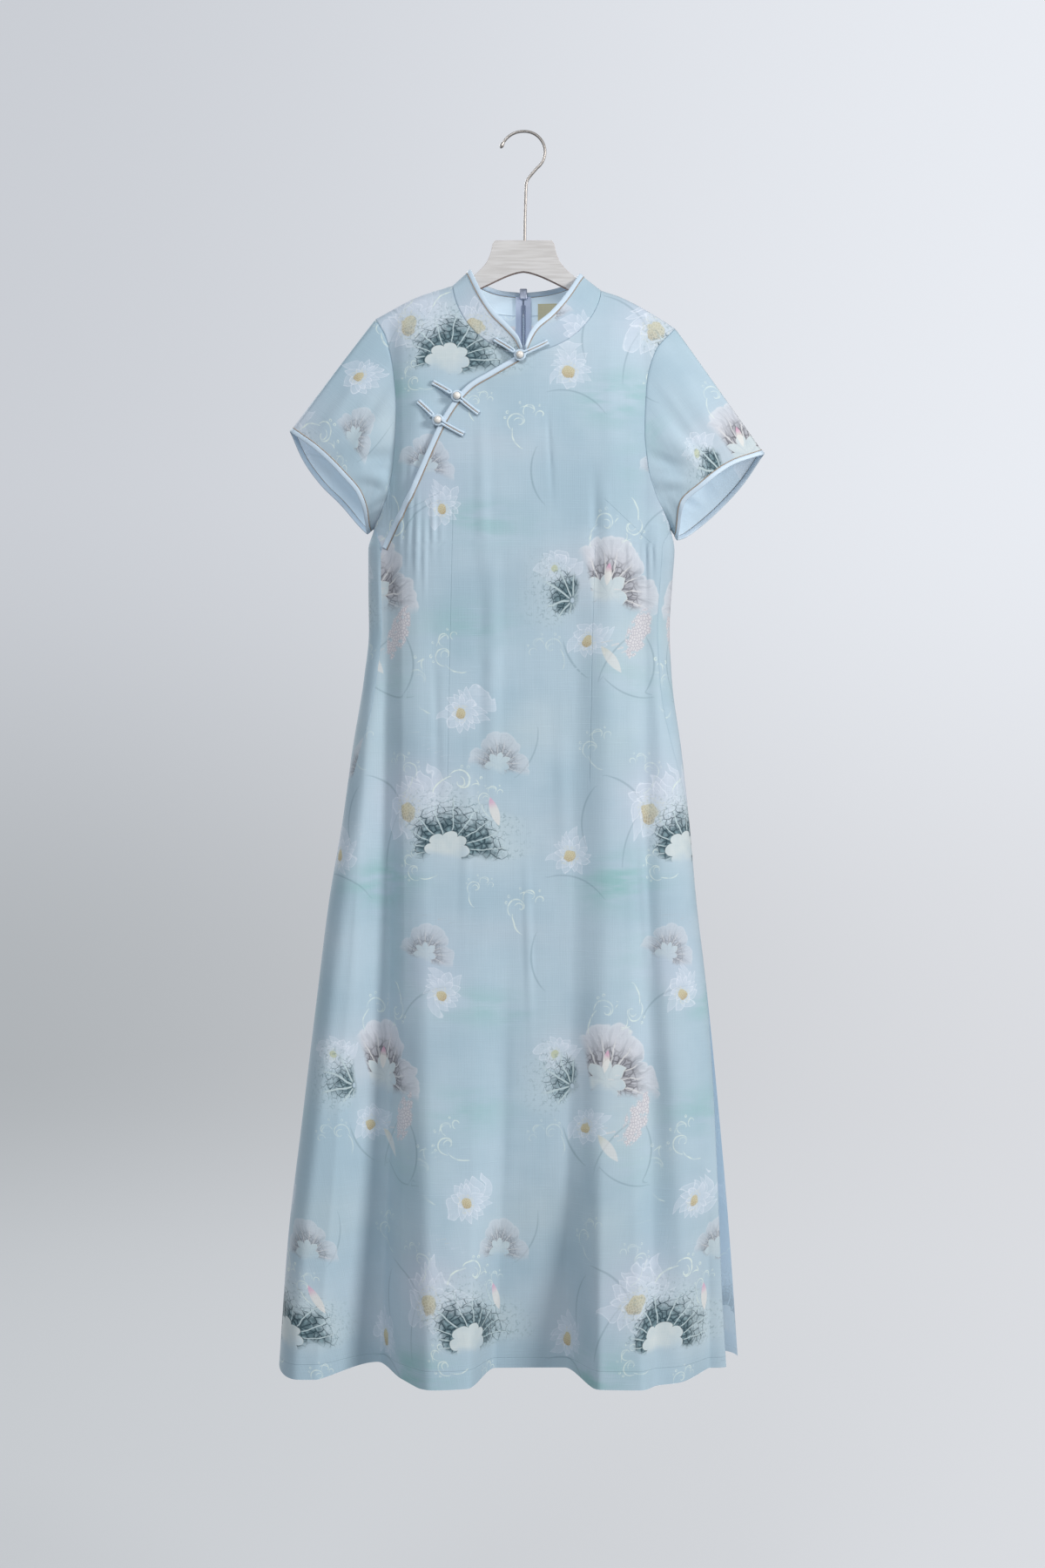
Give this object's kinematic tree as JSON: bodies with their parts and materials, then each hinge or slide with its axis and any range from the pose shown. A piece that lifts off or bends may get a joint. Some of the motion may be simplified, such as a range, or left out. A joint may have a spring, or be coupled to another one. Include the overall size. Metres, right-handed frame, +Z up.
{
  "type": "cheongsam dress on a hanger",
  "caption": "Short-sleeved mandarin-collar cheongsam dress with a slanted placket, pearl frog fastenings, printed crepe skirt with side slits, hung on a flat wooden hanger.",
  "frame": {"origin": "the inside top of the hook's bend, where the hanger rests on its rail", "axes": "+Z up, +X to the right of someone who looks at the dress, -Y the way its front faces"},
  "size_m": [0.5451, 0.1468, 1.3932],
  "materials": {
    "printed_crepe": "pale blue crepe with an all-over lotus and leaf print",
    "satin_binding": "light blue satin",
    "lining": "pinkish white lining cloth",
    "zip_tape": "lavender-grey woven tape",
    "label": "golden beige woven label, bare",
    "pearl": "pearlescent",
    "zip_slider": "lavender-grey paint",
    "pale_wood": "matt, greyish white stain",
    "hook_steel": "champagne tint"
  },
  "bodies": {
    "dress": {"back_left": "printed_crepe", "back_right": "printed_crepe", "collar_binding_left": "satin_binding", "collar_binding_right": "satin_binding", "collar_left": "printed_crepe", "collar_right": "printed_crepe", "cuff_binding_left": "satin_binding", "cuff_binding_right": "satin_binding", "frog_1_knot": "satin_binding", "frog_1_loop": "satin_binding", "frog_1_pearl": "pearl", "frog_2_knot": "satin_binding", "frog_2_loop": "satin_binding", "frog_2_pearl": "pearl", "frog_3_knot": "satin_binding", "frog_3_loop": "satin_binding", "frog_3_pearl": "pearl", "front_main": "printed_crepe", "front_underlap": "printed_crepe", "hanger_body": "pale_wood", "hanger_hook": "hook_steel", "neck_facing_left": "lining", "neck_facing_right": "lining", "neck_label": "label", "placket_band": "satin_binding", "sleeve_left": "printed_crepe", "sleeve_right": "printed_crepe", "zip_slider": "zip_slider", "zip_tape_left": "zip_tape", "zip_tape_right": "zip_tape"},
    "zip_pull": {"zip_pull": "zip_slider"}
  },
  "joints": [
    {"name": "pull_swing", "type": "hinge", "parent": "dress", "child": "zip_pull", "pos_m": [0, 0.0368, -0.175], "axis": [1, 0, 0], "range_deg": [0, 150]}
  ]
}
